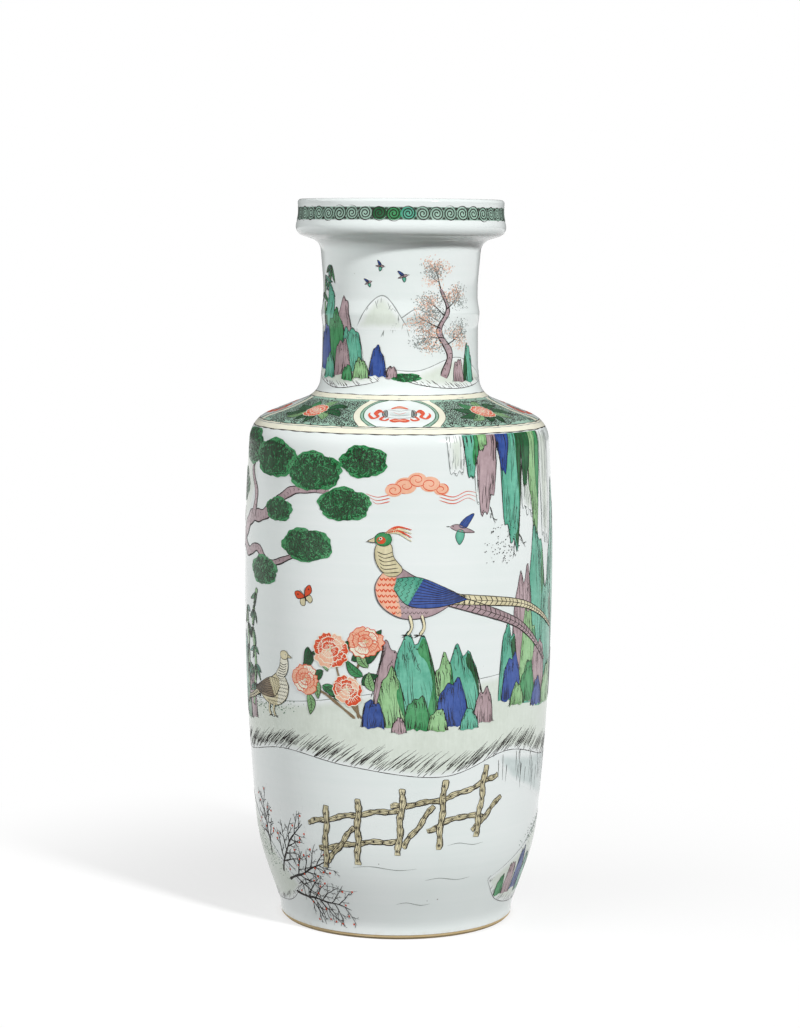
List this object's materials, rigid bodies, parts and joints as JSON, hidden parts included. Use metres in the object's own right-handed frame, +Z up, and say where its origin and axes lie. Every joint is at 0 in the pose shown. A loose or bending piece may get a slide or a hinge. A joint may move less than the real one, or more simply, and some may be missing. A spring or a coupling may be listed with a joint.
{
  "type": "rouleau vase",
  "caption": "Tall porcelain rouleau vase: near-cylindrical body, flat sloping shoulder, straight ribbed neck and dish mouth, glazed, with enamel border bands and a bare foot rim.",
  "frame": {"origin": "middle of the standing face, on the vase's axis", "axes": "+Z up along the vase's axis, -Y towards the side seen in the picture"},
  "size_m": [0.195, 0.195, 0.455],
  "materials": {
    "biscuit": "bare fired porcelain, matt, warm buff where the foot rim shows",
    "slip": "fired luting slip, matt",
    "glaze": "glossy, faintly blue-white transparent glaze",
    "green_enamel": "glossy translucent green enamel",
    "cream_enamel": "glossy pale yellow enamel"
  },
  "bodies": {
    "root": {"foot_section": "biscuit", "lower_body": "biscuit", "upper_body": "biscuit", "shoulder": "biscuit", "lower_neck": "biscuit", "upper_neck": "biscuit", "mouth": "biscuit", "foot_lute": "slip", "belly_lute": "slip", "edge_lute": "slip", "root_lute": "slip", "rib_lute": "slip", "mouth_lute": "slip", "outer_glaze": "glaze", "inner_glaze": "glaze", "base_glaze": "glaze", "rim_band": "green_enamel", "shoulder_ground": "green_enamel", "root_band": "cream_enamel", "panel_frames": "cream_enamel", "edge_band": "cream_enamel"}
  },
  "joints": []
}
